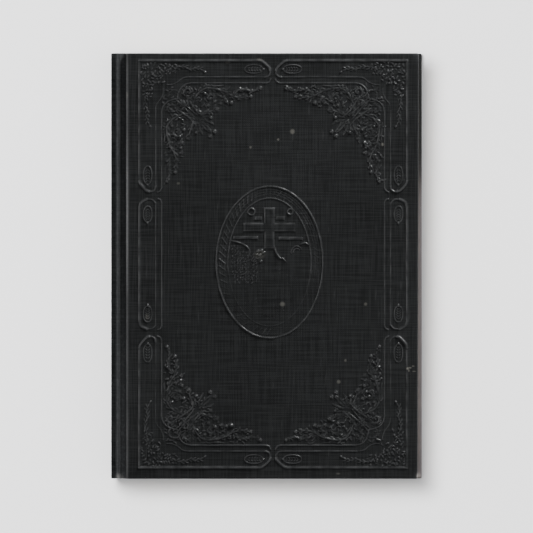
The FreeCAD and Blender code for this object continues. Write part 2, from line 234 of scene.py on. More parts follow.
def section_stack(low, high):
    """A pile of leaves. Each leaf is three rings: its lower rim, set in a little, and two at full
    size. Its back edge follows the back of the block, and the fold rounds it off as a circle."""
    rings, rims = [], []
    pitch = (high.z - low.z) / LEAVES_PER_SECTION
    for leaf in range(LEAVES_PER_SECTION):
        base = low.z + leaf * pitch
        middle = base + 0.5 * pitch
        across = 2.0 * (leaf + 0.5) / LEAVES_PER_SECTION - 1.0
        back = np.polyval(back_curve, middle) + FOLD_ROUNDING * (1.0 - math.sqrt(1.0 - across ** 2))
        wander = chance.normal(0.0, TRIM_WANDER, 3)
        corner_low = (back, -block_half + abs(wander[0]))
        corner_high = (np.polyval(fore_curve, middle) - abs(wander[1]), block_half - abs(wander[2]))
        for rise, inset in ((0.05, RIM_INSET), (0.3, 0.0), (0.8, 0.0)):
            xs, ys = leaf_outline([c + inset for c in corner_low], [c - inset for c in corner_high])
            rings.append(np.stack([xs, ys, np.full(xs.size, base + rise * pitch)], axis=-1))
            rims.append(np.ones(xs.size))
    rings.insert(0, rings[0] - [0.0, 0.0, rings[0][0, 2] - low.z])
    rings.append(rings[-1] + [0.0, 0.0, high.z - rings[-1][0, 2]])
    rims = [rims[0]] + rims + [rims[0] * 0.0]
    count = rings[0].shape[0]
    points = np.concatenate(rings)
    faces = grid_faces(len(rings), count, wrap=True)
    faces.append(list(range(count))[::-1])
    faces.append(list(range(len(points) - count, len(points))))
    return points, faces, np.concatenate(rims)


for name, (low, high) in zip(section_names, section_boxes):
    points, faces, rims = section_stack(low, high)
    stack = closed_mesh(name + "_leaves", points, faces, block_paper, False, rim=rims)
    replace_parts(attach(stack, "text_block"), name)


# ------------------------------
# Back of the block. Linen sewing thread over the folds, open cotton mull glued over it and down
# on both boards, and a brown paper lining. All of it is hidden while the book is shut.
def woven_height(paint, across, along, pitch):
    """Plain weave: half the product of two sine waves, each two threads long, plus a half."""
    first = (across * (math.pi / pitch)).math("SINE")
    second = (along * (math.pi / pitch)).math("SINE")
    return first * second * 0.5 + 0.5


def plain_paint(name, colour, dark, scale, thread=None):
    """A fibrous material: two tones in soft clouds, over fine grain or a weave."""
    paint = Paint(name, roughness=0.9, specular=0.2)
    place = paint.place()
    x, y, z = paint.axes(place)
    clouds = paint.noise(place, scale, 5.0)
    paint.put("Base Color", paint.mix(clouds.ramp(0.35, 0.7), dark, colour))
    if thread is None:
        grain = paint.noise(place, scale * 12.0, 2.0)
    else:
        grain = woven_height(paint, x + z, y, thread)
    paint.bump(grain, 0.05 * MM, 0.7)
    return paint.material


def repaint(nodes, *look):
    """Give CAD nodes that are shown as they are a fibrous material."""
    material = plain_paint(*look)
    for node in nodes:
        frame["nodes"][node].data.materials.clear()
        frame["nodes"][node].data.materials.append(material)


MULL_PITCH = 0.9 * MM
mull_nodes = ["spine_mull", "front_mull_flange", "rear_mull_flange"]
repaint(["sewing_threads"], "linen_thread", (0.72, 0.68, 0.58, 1), (0.5, 0.46, 0.38, 1), 900.0)
repaint(mull_nodes, "cotton_mull", (0.66, 0.64, 0.56, 1), (0.45, 0.43, 0.37, 1), 300.0, MULL_PITCH)
repaint(["spine_lining"], "kraft_paper", (0.34, 0.23, 0.13, 1), (0.25, 0.17, 0.1, 1), 250.0)


# ------------------------------
# Headband and tailband. Cord wound with cotton, glued on the back of the block so that the bead
# stands on the ends of the leaves, behind the spine of the case.
BAND_RADIUS = 0.78 * MM
BAND_WRAPS = 30
BAND_GAP = 0.05 * MM
THREAD_RISE = 0.10 * MM


def band_tube(sign):
    """A tube along the curve of the back. Its radius swells once per wrap as the absolute sine, and
    the wraps lean as they go round."""
    along = np.linspace(0.0, 1.0, BAND_WRAPS * 8 + 1)
    around = np.linspace(0.0, 2.0 * np.pi, 20, endpoint=False)
    z = block_bottom + BAND_RADIUS + along * (block_top - block_bottom - 2.0 * BAND_RADIUS)
    x = np.polyval(back_curve, z) + 0.9 * BAND_RADIUS
    wave = np.abs(np.sin(np.pi * BAND_WRAPS * along[:, None] + 0.5 * around[None, :]))
    ends = np.sqrt(np.clip(1.0 - (2.0 * along - 1.0) ** 24, 0.0, 1.0))
    radius = (BAND_RADIUS - THREAD_RISE + THREAD_RISE * wave) * ends[:, None]
    tilt = np.arctan(np.gradient(x, z))
    out = radius * np.cos(around)
    points = np.stack(
        [
            x[:, None] + out * np.cos(tilt)[:, None],
            sign * (block_half + BAND_RADIUS + BAND_GAP + radius * np.sin(around)),
            z[:, None] - out * np.sin(tilt)[:, None],
        ],
        axis=-1,
    )
    stripe = np.broadcast_to((np.floor(BAND_WRAPS * along + 0.25) % 2)[:, None], radius.shape)
    faces = grid_faces(along.size, around.size, wrap=True, flip=sign < 0)
    return points.reshape(-1, 3), faces, stripe


band_paint = Paint("band_cotton", roughness=0.8)
stripe = band_paint.attribute("stripe")
stripes = band_paint.mix(stripe, (0.62, 0.58, 0.5, 1.0), (0.03, 0.03, 0.034, 1.0))
band_paint.put("Base Color", stripes)
band_paint.bump(band_paint.noise(band_paint.place(), 5000.0, 2.0), 0.03 * MM, 0.6)
for node, sign in (("headband", 1.0), ("tailband", -1.0)):
    points, faces, stripe = band_tube(sign)
    band = closed_mesh(node + "_wound", points, faces, band_paint.material, stripe=stripe)
    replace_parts(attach(band, "text_block"), node)


# ------------------------------
# Boards and spine strip. Dense grey-brown card, hidden under the cloth and the endpapers.
board_nodes = ["front_board", "rear_board", "spine_strip"]
repaint(board_nodes, "grey_board", (0.30, 0.25, 0.19, 1), (0.21, 0.18, 0.14, 1), 400.0)


# ------------------------------
# Cloth of the two covers. Black linen book cloth glued over each board's face and edges and
# turned in on the inside. The edges and corners are rubbed; the rear fore-edge worst of all. The
# front board's spine-side edge also has a painted highlight line, painted as paler cloth.
CLOTH = 0.35 * MM
THREAD_PITCH = 0.42 * MM
EDGE_ROUNDING = 0.55 * MM
INNER_ROUNDING = 0.25 * MM
TURN_IN = 14.0 * MM
CORNER_RADIUS = 0.5 * MM
SKIN_STEP = 1.1 * MM
SKIN_LAP = 0.3 * MM
OUT_OF_SQUARE = 0.5 * MM
LIFT = 0.05 * MM
SPECK_LEVEL = 20.0 * MM


def cloth_paint(name, specular=0.16, specks=(), wall_share=1.0):
    """Black woven cloth. Tone and height follow uneven threads both ways; places worn by rubbing go
    paler and browner, and where the dye is gone the pale threads show. Two of the pale channels
    also
    carry painted light: paler cloth painted as highlights on raised crests, on the back's ridge and
    along the spine-side edge of the front board, and painted light on the groove floor that the
    board shades. Each speck is a pale spot on the front face: it fades out smoothly just past its
    size.
    Threads run on down walls that face head or tail when wall_share is 1, and straight round the
    back when it is 0."""
    paint = Paint(name, roughness=0.56, specular=specular)
    x, y, z = paint.axes(paint.place())
    across, along = x + z, y + z * wall_share
    warp = paint.noise(paint.vector(across / THREAD_PITCH * 0.8, along * 60.0, 0.0), 1.0, 1.0)
    weft = paint.noise(paint.vector(across * 60.0, along / THREAD_PITCH * 0.8, 7.0), 1.0, 1.0)
    slub = paint.noise(paint.vector(across * 900.0, along * 110.0, 3.0), 1.0, 2.0).ramp(0.62, 0.8)
    clouds = paint.noise(paint.place(), 28.0, 4.0)
    threads = (warp + weft) * 0.5
    weave = woven_height(paint, across, along, THREAD_PITCH)
    tone = threads.ramp(0.36, 0.64) * 0.8 + clouds.ramp(0.3, 0.7) * 0.2
    base = paint.mix(tone, (0.0056, 0.0061, 0.0063, 1.0), (0.0210, 0.0221, 0.0225, 1.0))
    base = paint.mix(slub * 0.35, base, (0.050, 0.051, 0.052, 1.0))
    speckle = paint.noise(paint.place(), 900.0, 1.0).ramp(0.45, 0.75)
    # Paler cloth from the first channel: worn cloth, and also painted highlights on crests, the
    # back's ridge and the front board's spine-side edge, and painted light on the shaded groove
    # floor.
    wear = paint.attribute("wear") * (0.65 + 0.35 * speckle)
    base = paint.mix(wear, base, (0.125, 0.129, 0.134, 1.0))
    for speck_x, speck_y, size_x, size_y, strength in specks:
        away = ((x - speck_x * MM) / (size_x * MM)) ** 2.0
        away = away + ((y - speck_y * MM) / (size_y * MM)) ** 2.0
        share = away.ramp(1.2, 0.0) * z.ramp(SPECK_LEVEL, SPECK_LEVEL + MM) * strength
        base = paint.mix(share, base, (0.17, 0.165, 0.145, 1.0))
    rub = paint.attribute("rub") * (0.7 + 0.3 * paint.noise(paint.place(), 260.0, 3.0))
    base = paint.mix(rub, base, (0.148, 0.135, 0.141, 1.0))
    # Pale undyed threads, and also a faint painted highlight line on the front board's spine-side
    # edge.
    base = paint.mix(paint.attribute("bare"), base, (0.42, 0.40, 0.385, 1.0))
    paint.put("Base Color", base)
    paint.put("Roughness", 0.6 - 0.1 * tone)
    paint.put("Coat Weight", paint.attribute("shine") * 0.9)
    paint.shader.inputs["Coat Roughness"].default_value = 0.34
    paint.bump(threads * 0.6 + weave * 0.3 + slub * 0.2, 0.10 * MM, 0.75)
    return paint.material


black_cloth = cloth_paint(
    "black_cloth",
    specks=[
        (-2.8, 4.6, 2.6, 2.0, 0.2), (6.4, -15.3, 1.2, 1.1, 0.42), (10.4, 54.0, 1.1, 1.2, 0.5),
        (4.7, 50.8, 0.6, 0.6, 0.5), (-6.4, 47.7, 0.6, 0.6, 0.4), (46.6, 48.8, 0.8, 0.8, 0.5),
        (39.8, -15.3, 0.8, 0.8, 0.35), (31.7, -37.9, 0.6, 0.7, 0.35),
        (29.0, -46.5, 0.9, 0.9, 0.4), (56.6, -41.2, 0.6, 0.6, 0.8),
        (57.6, -40.9, 0.9, 0.3, 0.7), (57.2, -42.0, 0.3, 0.7, 0.6),
        (58.9, -40.2, 0.7, 0.25, 0.6), (59.3, -42.3, 0.9, 0.25, 0.5),
        (28.8, -83.4, 0.9, 0.45, 0.3), (-35.4, 33.2, 0.8, 0.6, 0.25),
        (-15.6, 81.8, 1.2, 0.7, 0.15), (-2.8, 82.9, 1.4, 0.7, 0.2),
        (-56.3, 68.6, 0.8, 1.7, 0.4), (-56.3, 37.2, 0.6, 1.2, 0.3),
        (-48.0, -20.5, 1.0, 1.6, 0.2),
    ],
)


def cloth_lift(x, y):
    """Small unevenness of glued cloth: a sum of slow waves of a few hundredths of a millimetre."""
    waves = np.sin(61.0 * x + 23.0 * y) + np.sin(95.0 * y - 41.0 * x + 1.3)
    return LIFT * 0.4 * (waves + 0.6 * np.sin(210.0 * x + 155.0 * y + 0.4))


def edge_stations(low, high):
    """Places along one side: an even step, with extra places packed close to both ends."""
    near = np.array([0.0, 0.2, 0.45, 0.8, 1.3, 2.0]) * MM
    middle = np.linspace(low + 3.0 * MM, high - 3.0 * MM, int((high - low) / SKIN_STEP))
    return np.concatenate([low + near, middle, high - near[::-1]])


def bell(distance, radius):
    """e to the power of minus the squared distance in radii."""
    return np.exp(-((distance / radius) ** 2))


def spot(x, y, middle_x, middle_y, radius_x, radius_y):
    """A bell both ways, so a round soft spot."""
    return bell(x - middle_x, radius_x) * bell(y - middle_y, radius_y)


def grid_rim(nx, ny):
    """The outer points of a grid in order round it."""
    start, end = np.arange(nx) * ny, np.arange(1, ny)
    return np.concatenate([start, (nx - 1) * ny + end, start[-2::-1] + ny - 1, end[-2::-1]])


def cover_skin(low, high, face_z, inner_z, out_of_square):
    """A face grid whose rim is carried on by rings: over the rounded edge, down the wall, under
    and in. Ring k is the rim moved out by reach[k] and down by drop[k], its corners pulled in to an
    arc. A point moves to the spine by out_of_square times its shares towards fore-edge and tail."""
    side = 1.0 if face_z > inner_z else -1.0
    xs = edge_stations(low[0] + EDGE_ROUNDING, high[0] - EDGE_ROUNDING)
    ys = edge_stations(low[1] + EDGE_ROUNDING, high[1] - EDGE_ROUNDING)
    gx, gy = np.meshgrid(xs, ys, indexing="ij")
    nx, ny = gx.shape
    rim = grid_rim(nx, ny)
    face = np.stack([gx.ravel(), gy.ravel(), np.zeros(gx.size)], axis=-1)
    turn = np.radians([18.0, 36.0, 54.0, 72.0, 90.0])
    height = abs(face_z - inner_z)
    under = turn[1::2]
    reach = [EDGE_ROUNDING * np.sin(turn), [EDGE_ROUNDING]]
    reach += [EDGE_ROUNDING - INNER_ROUNDING * (1.0 - np.cos(under))]
    reach += [EDGE_ROUNDING - np.array([MM, 4.0 * MM, TURN_IN])]
    drop = [EDGE_ROUNDING * (1.0 - np.cos(turn)), [height - INNER_ROUNDING]]
    drop += [height - INNER_ROUNDING * (1.0 - np.sin(under)), np.full(3, height)]
    middle = 0.5 * (np.array(low) + high)
    half = np.array(high) - middle
    edge = half - EDGE_ROUNDING
    flat = face[rim, :2] - middle
    rings = []
    for out, down in zip(np.concatenate(reach), np.concatenate(drop)):
        moved = np.where(np.abs(flat) >= edge - 1e-9, np.sign(flat) * (edge + out), flat)
        moved = np.clip(moved, -(edge + out), edge + out)
        over = np.abs(moved) - (half - CORNER_RADIUS)
        both = (over > 0.0).all(axis=1) & (out > 0.0)
        length = np.linalg.norm(over, axis=1)
        limit = CORNER_RADIUS - (EDGE_ROUNDING - out)
        pull = np.where(both & (length > limit), limit / np.maximum(length, 1e-9), 1.0)
        pulled = np.sign(moved) * ((half - CORNER_RADIUS) + over * pull[:, None])
        moved = np.where(both[:, None], pulled, moved) + middle
        rings.append(np.column_stack([moved, np.full(rim.size, down)]))
    points = np.concatenate([face] + rings)
    faces = grid_faces(nx, ny, flip=side > 0)
    added = face.shape[0] + np.arange(len(rings) * rim.size).reshape(len(rings), -1)
    loops = np.concatenate([rim[None, :], added])
    beside = np.roll(loops, -1, 1)
    walls = np.stack([loops[:-1], loops[1:], beside[1:], beside[:-1]], axis=-1).reshape(-1, 4)
    faces = faces + (walls if side > 0 else walls[:, ::-1]).tolist()
    x, y, down = points.T
    edge_near = np.minimum.reduce([x - low[0], high[0] - x, y - low[1], high[1] - y])
    tail_share = (high[1] - y) / (high[1] - low[1])
    x = x - out_of_square * tail_share * (x - low[0]) / (high[0] - low[0])
    lift = side * cloth_lift(x, y) * np.clip(edge_near / (3.0 * MM), 0.0, 1.0)
    z = face_z - side * down + np.where(down == 0.0, lift, 0.0)
    return np.stack([x, y, z], axis=-1), faces, edge_near, down


cloth_low, cloth_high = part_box("front_cover_cloth")
board_low, board_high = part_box("front_board")
front_face = board_high.z + CLOTH
cover_half = cloth_high.y
front_inner = board_low.z - CLOTH
low, high = (cloth_low.x - SKIN_LAP, -cover_half), (cloth_high.x, cover_half)
points, faces, edge_near, down = cover_skin(low, high, front_face, front_inner, OUT_OF_SQUARE)
x, y, z = points.T
upper = down < MM
wear = 0.05 * bell(edge_near, 0.7 * MM) * upper
# The front board's spine-side edge is painted paler along its rounding and down its wall into the
# groove: partly worn cloth, partly a painted highlight line.
groove_near = x - cloth_low.x + SKIN_LAP
along_edge = 0.5 + 0.9 * bell(y - 22.0 * MM, 24.0 * MM)
along_edge = along_edge + 0.12 * np.sin(310.0 * y) * np.sin(130.0 * y)
wear = wear + along_edge * bell(groove_near - 0.3 * MM, 0.6 * MM) * np.exp(-down / (1.6 * MM))
corner_near = np.hypot(cloth_high.x - x, cover_half - np.abs(y))
wear = wear + 0.25 * bell(corner_near, 2.5 * MM) * (down < 1.5 * MM)
# Shine follows the same edge line: it gives a coat there, and a small share of it is painted pale
# like undyed threads, a painted highlight.
shine = along_edge * bell(groove_near - 0.4 * MM, 0.5 * MM) * upper
tail_corner = spot(x, y, cloth_high.x - OUT_OF_SQUARE, -cover_half + MM, 0.4 * MM, 0.9 * MM)
bare = 0.7 * tail_corner + 0.08 * shine
paints = {"wear": wear, "shine": shine, "bare": bare}
front_skin = closed_mesh("front_cover_skin", points, faces, black_cloth, **paints)
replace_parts(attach(front_skin, "front_cover"), "front_cover_cloth")

rear_low, rear_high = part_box("rear_cover_cloth")
rear_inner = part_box("rear_board")[1].z + CLOTH
low, high = (rear_low.x - SKIN_LAP, -cover_half), (rear_high.x, cover_half)
points, faces, edge_near, down = cover_skin(low, high, 0.0, rear_inner, 0.0)
x, y, z = points.T
wall = down > MM
wear = 0.05 * bell(edge_near, 0.8 * MM) * (down < MM)
tail_share = 1.0 - 1.0 / (1.0 + np.exp(-(y - 33.0 * MM) / (5.0 * MM)))
rub = tail_share * bell(np.clip(rear_high.x - x - 1.6 * MM, 0.0, 1.0), 0.8 * MM) * wall
rub = rub + 0.35 * bell(np.clip(y + cover_half - 0.8 * MM, 0.0, 1.0), 0.5 * MM) * wall
bare = 0.6 * spot(x, y, rear_high.x - 1.3 * MM, -cover_half + 1.1 * MM, MM, 0.9 * MM)
paints = {"wear": wear, "rub": rub, "bare": bare}
rear_skin = closed_mesh("rear_cover_skin", points, faces, black_cloth, **paints)
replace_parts(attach(rear_skin, "rear_cover"), "rear_cover_cloth")


# ------------------------------
# Spine and grooves of the case. The same cloth runs over the spine strip, over its ridge and down
# into the groove that lets each cover turn. It is turned in at the head and the tail.
strip_low, strip_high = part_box("spine_cloth")
groove_low, groove_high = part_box("front_joint_cloth")
case_middle = 0.5 * (strip_low.z + strip_high.z)
back_cloth = cloth_paint("back_cloth", specular=0.0, wall_share=0.0)
back_bulge = groove_low.x - strip_low.x
half_chord = strip_high.z - case_middle
back_radius = (half_chord ** 2 + back_bulge ** 2) / (2.0 * back_bulge)
GROOVE_FOLD = 9.0 * MM
FRAY = 0.2 * MM
BEND_STEPS = 6


def round_corners(path, radii):
    """A path whose corners are replaced by quadratic curves that start and end radius away from the
    corner: (1 - t) squared of the start, 2 t (1 - t) of the corner and t squared of the end."""
    done = [path[0]]
    for before, here, after, radius in zip(path[:-2], path[1:-1], path[2:], radii):
        towards = (before - here) / np.linalg.norm(before - here)
        away = (after - here) / np.linalg.norm(after - here)
        t = np.linspace(0.0, 1.0, BEND_STEPS)[:, None]
        start, end = here + towards * radius, here + away * radius
        done.extend((1 - t) ** 2 * start + 2 * t * (1 - t) * here + t ** 2 * end)
    done.append(path[-1])
    return np.array(done)


def case_profile():
    """Half of the case's back, middle to groove, as (x, z) outside points: an arc of a circle, a
    ridge, the groove's floor and a wall."""
    angle = np.linspace(0.0, math.asin(half_chord / back_radius), 18)
    arc_x = strip_low.x + back_radius * (1.0 - np.cos(angle))
    back_arc = np.stack([arc_x, case_middle + back_radius * np.sin(angle)], axis=-1)
    ridge_z, floor_z = strip_high.z + CLOTH, groove_low.z + CLOTH
    bend = [back_arc[-1], (groove_low.x + 0.1 * MM, ridge_z), (groove_low.x + 1.3 * MM, ridge_z)]
    bend += [(groove_low.x + 1.9 * MM, floor_z), (groove_high.x - 0.5 * MM, floor_z)]
    bend += [(groove_high.x - 0.2 * MM, floor_z + 1.5 * MM)]
    rounded = round_corners(np.array(bend), [0.25 * MM, 0.45 * MM, 0.5 * MM, 0.3 * MM])
    return np.concatenate([back_arc[:-1], rounded])


def case_back(flip_z):
    """The profile swept from tail to head. Past each end the surface rolls over by half a circle
    and runs back inside as the turn-in: offset inward = thickness times (1 - cos) / 2. The fold at
    the tail is frayed by the ridge, moved inward by FRAY times a bell and a fast sine."""
    profile = case_profile()
    slope = np.gradient(profile, axis=0)
    inward = np.stack([-slope[:, 1], slope[:, 0]], axis=-1)
    inward = -inward / np.linalg.norm(inward, axis=1)[:, None]
    roll = np.linspace(0.0, np.pi, 9)
    depth = 2.0 * CLOTH
    end_y = cover_half - 0.5 * depth + 0.5 * depth * np.sin(roll)
    end_in = 0.5 * depth * (1.0 - np.cos(roll))
    body_y = np.linspace(-cover_half + depth, cover_half - depth, 90)
    fold_y = cover_half - GROOVE_FOLD
    y = np.concatenate([[-fold_y], -end_y[::-1], body_y, end_y, [fold_y]])
    inset = np.concatenate([[depth], end_in[::-1], np.zeros(body_y.size), end_in, [depth]])
    x, z = profile.T[:, :, None] + inward.T[:, :, None] * inset
    past_ridge = (profile[:, 0] - groove_low.x)[:, None]
    wobble = 0.06 * MM * np.sin(90.0 * y) + 0.03 * MM * np.sin(330.0 * y + 1.0)
    z = z + bell(past_ridge - 0.5 * MM, 0.6 * MM) * wobble
    if flip_z:
        z = 2.0 * case_middle - z
    frayed = bell(past_ridge - 1.2 * MM, 2.2 * MM) * bell(y + cover_half, 1.1 * MM)
    along = y + FRAY * frayed * (1.0 + 0.5 * np.sin(2600.0 * x))
    z = z + 0.5 * FRAY * frayed * np.sin(3300.0 * x)
    faces = grid_faces(profile.shape[0], y.size, flip=not flip_z)
    end_near = cover_half - np.abs(y)
    # The ridge is painted paler as a painted highlight, and the groove floor, shaded by the board,
    # as painted light, more towards the tail; both partly stand for worn cloth. The ends and the
    # frayed tail fold are worn cloth.
    trough = np.clip((past_ridge - 0.9 * MM) / (1.2 * MM), 0.0, 1.0)
    tail_highlight = 1.0 / (1.0 + np.exp((y + 28.0 * MM) / (10.0 * MM)))
    wear = 0.75 * bell(past_ridge - 0.5 * MM, 0.45 * MM) + trough * (0.3 + 0.35 * tail_highlight)
    wear = wear + 0.1 * bell(end_near, 0.8 * MM) + 0.8 * frayed * bell(end_near, 0.5 * MM)
    ridge_spot = (groove_low.x + 0.8 * MM, -cover_half + 0.9 * MM, 0.6 * MM, 0.9 * MM)
    floor_spot = (groove_low.x + 2.5 * MM, -cover_half + 0.7 * MM, 0.7 * MM, 0.5 * MM)
    bare = 0.45 * spot(x, along, *ridge_spot) + 0.3 * spot(x, along, *floor_spot)
    return np.stack([x, along, z], axis=-1).reshape(-1, 3), faces, wear, bare


for flip, cover, node, slot_node in (
    (False, "front_cover", "front_groove_cloth", "front_joint_cloth"),
    (True, "rear_cover", "rear_groove_cloth", "rear_joint_cloth"),
):
    points, faces, wear, bare = case_back(flip)
    groove = closed_mesh(node, points, faces, back_cloth, wear=wear, bare=bare)
    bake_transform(groove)
    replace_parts(groove, slot_node, "spine_cloth")


# ------------------------------
# Raised decoration of the front cover. Lines pressed up in the cloth: a frame of six panels, a
# spray of scrolls and leaves in each corner, and an oval with a cross. Here it is a height map.
RELIEF_PITCH = 0.21 * MM
RELIEF_SINK = 0.012 * MM
RELIEF_LEAST = 0.004 * MM
CREST_RISE = 0.1 * MM
SHINY_HEIGHT = 0.3 * MM
MARK_STEP = 0.12 * MM
MARKS_AT_ONCE = 48
FRAME_LEFT, FRAME_RIGHT = cad_low.x + 11.35 * MM, cloth_high.x - 4.8 * MM
FRAME_FOOT, FRAME_HEAD = 4.45 * MM - cover_half, cover_half - 3.05 * MM
FRAME_LINE = 0.92
PANEL = 52.6
PANEL_BAND = 6.6
INNER_LINE = 9.0
sway = np.random.default_rng(5)


class Relief:
    """Heights on a flat grid, made by round brush marks. A mark of radius r and height h raises a
    place at distance d by h times (1 - (d / r) squared) squared; where marks overlap the highest
    counts."""

    def __init__(self, x0, x1, y0, y1):
        self.x = np.arange(x0, x1, RELIEF_PITCH)
        self.y = np.arange(y0, y1, RELIEF_PITCH)
        self.h = np.zeros((self.x.size, self.y.size))

    def marks(self, places, radius, height):
        for start in range(0, len(places), MARKS_AT_ONCE):
            part = slice(start, start + MARKS_AT_ONCE)
            px, py, r, h = places[part, 0], places[part, 1], radius[part], height[part]
            i0, i1 = np.searchsorted(self.x, [(px - r).min(), (px + r).max()])
            j0, j1 = np.searchsorted(self.y, [(py - r).min(), (py + r).max()])
            if i0 == i1 or j0 == j1:
                continue
            dx = (self.x[i0:i1, None] - px) ** 2
            dy = (self.y[j0:j1, None] - py) ** 2
            t = np.clip(1.0 - (dx[:, None, :] + dy[None, :, :]) / r ** 2, 0.0, 1.0)
            best = (h * t ** 2).max(axis=-1)
            self.h[i0:i1, j0:j1] = np.maximum(self.h[i0:i1, j0:j1], best)

    def line(self, path, radius, height, taper=0.0):
        """A line along a path of places, its radius and height in millimetres. Its marks shrink
        towards both ends by taper times 1 - (4 s (1 - s)) to the power 0.6, at share s of it."""
        steps = np.linalg.norm(np.diff(path, axis=0), axis=1)
        length = np.concatenate([[0.0], np.cumsum(steps)])
        s = np.linspace(0.0, length[-1], max(3, int(length[-1] / MARK_STEP)))
        places = np.column_stack([np.interp(s, length, axis) for axis in path.T])
        share = s / max(length[-1], 1e-9)
        thin = 1.0 - taper * (1.0 - np.clip(4.0 * share * (1.0 - share), 0.0, 1.0) ** 0.6)
        self.marks(places, radius * MM * thin, height * MM * thin)

    def plateau(self, cx, cy, half_x, half_y, height, shoulder):
        """A flat-topped block: height times t squared times (3 - 2 t), where t rises from 0 one
        shoulder outside the outline to 1 one shoulder inside it."""
        gx, gy = np.meshgrid(self.x - cx, self.y - cy, indexing="ij")
        inside = np.minimum(half_x - np.abs(gx), half_y - np.abs(gy)) + shoulder
        t = np.clip(inside / (2.0 * shoulder), 0.0, 1.0)
        self.h = np.maximum(self.h, height * t * t * (3.0 - 2.0 * t))


def curve_through(*knots, per=10):
    """A smooth path through the knots (Catmull-Rom)."""
    k = np.array([knots[0], *knots, knots[-1]], float)
    t = np.linspace(0.0, 1.0, per, endpoint=False)[:, None]
    a, b, c, d = k[:-3, None], k[1:-2, None], k[2:-1, None], k[3:, None]
    square, cube = 2 * a - 5 * b + 4 * c - d, 3 * b - a - 3 * c + d
    path = 0.5 * (2 * b + (c - a) * t + square * t ** 2 + cube * t ** 3)
    return np.concatenate([path.reshape(-1, 2), k[-1:]])


def strokes(*rows):
    """Rows of radius, height and places as (path, radius, height): two places are joined straight,
    and more by a curve."""
    return [
        (curve_through(*knots) if len(knots) > 2 else np.array(knots), radius, height)
        for radius, height, *knots in rows
    ]


def arc(cx, cy, rx, ry, start, end, count=24):
    """Part of an ellipse, angles in degrees."""
    a = np.radians(np.linspace(start, end, count))
    return np.stack([cx + rx * np.cos(a), cy + ry * np.sin(a)], axis=-1)


def spiral(cx, cy, radius, start, turns):
    """A curl that starts at radius and closes in to a quarter of it as t to the power 0.9."""
    t = np.linspace(0.0, 1.0, 48)
    r = radius * (1.0 - 0.75 * t ** 0.9)
    a = np.radians(start) + 2.0 * np.pi * turns * t
    return np.stack([cx + r * np.cos(a), cy + r * np.sin(a)], axis=-1)


def leaf_lobe(x, y, direction, length, curl):
    """A short bent stroke: the direction turns by curl degrees on the way."""
    t = np.linspace(0.0, 1.0, 12)
    a = np.radians(direction + curl * t)
    steps = np.stack([np.cos(a), np.sin(a)], axis=-1) * length / t.size
    return np.array([x, y]) + np.cumsum(steps, axis=0)


CORNERS = [(right, low) for right in (False, True) for low in (False, True)]


def corner_places(path, right, low):
    """Places on the cover from millimetres along the head edge and down the side of a corner."""
    u, v = np.asarray(path, float).T * MM
    x = FRAME_RIGHT - u if right else FRAME_LEFT + u
    y = FRAME_FOOT + v if low else FRAME_HEAD - v
    return np.stack([x, y], axis=-1)


def frame_corner_lines():
    """Half of one corner's panel, up to its diagonal. The other half is its mirror."""
    return strokes(
        (FRAME_LINE, 0.34, (0.0, 0.0), (PANEL - 4.4, 0.0)),
        (FRAME_LINE, 0.4, (PANEL - 4.4, 0.0), (PANEL - 3.0, 0.5), (PANEL - 0.5, 2.7), (PANEL, 4.0)),
        (0.6, 0.3, (PANEL, 4.0), (PANEL - 0.1, 5.3), (PANEL - 0.9, 6.3), (PANEL - 2.2, PANEL_BAND)),
        (0.46, 0.2, (PANEL - 2.2, PANEL_BAND), (20.0, PANEL_BAND)),
        (0.42, 0.18, (20.0, PANEL_BAND), (17.5, 7.0), (15.2, 8.7), (13.0, 9.6), (11.2, 9.7)),
        (0.5, 0.26, (PANEL + 0.2, 7.4), (PANEL - 0.4, 8.5), (PANEL - 1.6, INNER_LINE)),
        (0.46, 0.25, (PANEL - 1.6, INNER_LINE), (20.7, INNER_LINE)),
        (0.46, 0.25, (20.7, INNER_LINE), (18.4, 9.6), (16.6, 11.2), (15.7, 13.2), (15.3, 15.3)),
    )


def panel_leaf(cx, cy, half_long, half_wide):
    """A long leaf in a panel's end: two bulging sides with veins, and a bead at its tip."""
    t = np.linspace(0.0, np.pi, 20)
    lines = []
    for side in (-1, 1):
        bulge = side * half_wide * np.sin(t) ** 0.8
        lines.append((np.stack([cx - half_long * np.cos(t), cy + bulge], axis=-1), 0.42, 0.26))
        for number in range(5):
            x = cx - 0.6 * half_long + 0.3 * half_long * number
            vein = leaf_lobe(x, cy + side * 0.15, side * 60.0, 0.62 * half_wide, -side * 40.0)
            lines.append((vein, 0.36, 0.22))
    lines.append((np.array([[cx + half_long, cy], [cx + half_long + 0.5, cy]]), 0.62, 0.42))
    return lines


def frame_corner_fills():
    """A leafy branch and the leaf in the end of a panel, up to the diagonal."""
    lines = panel_leaf(PANEL - 6.6, 3.4, 3.6, 1.7)
    branch = curve_through((14.2, 3.0), (17.5, 2.4), (20.5, 3.4), (23.5, 3.0), (26.2, 4.3))
    lines.append((branch, 0.42, 0.26))
    lines.append((np.array([branch[-1], branch[-1] + [0.5, 0.4]]), 0.62, 0.44))
    for at in range(3, len(branch) - 3, 5):
        for side in (-1, 1):
            lines.append((leaf_lobe(*branch[at], side * 55.0, 1.5, -side * 60.0), 0.38, 0.26))
    return lines


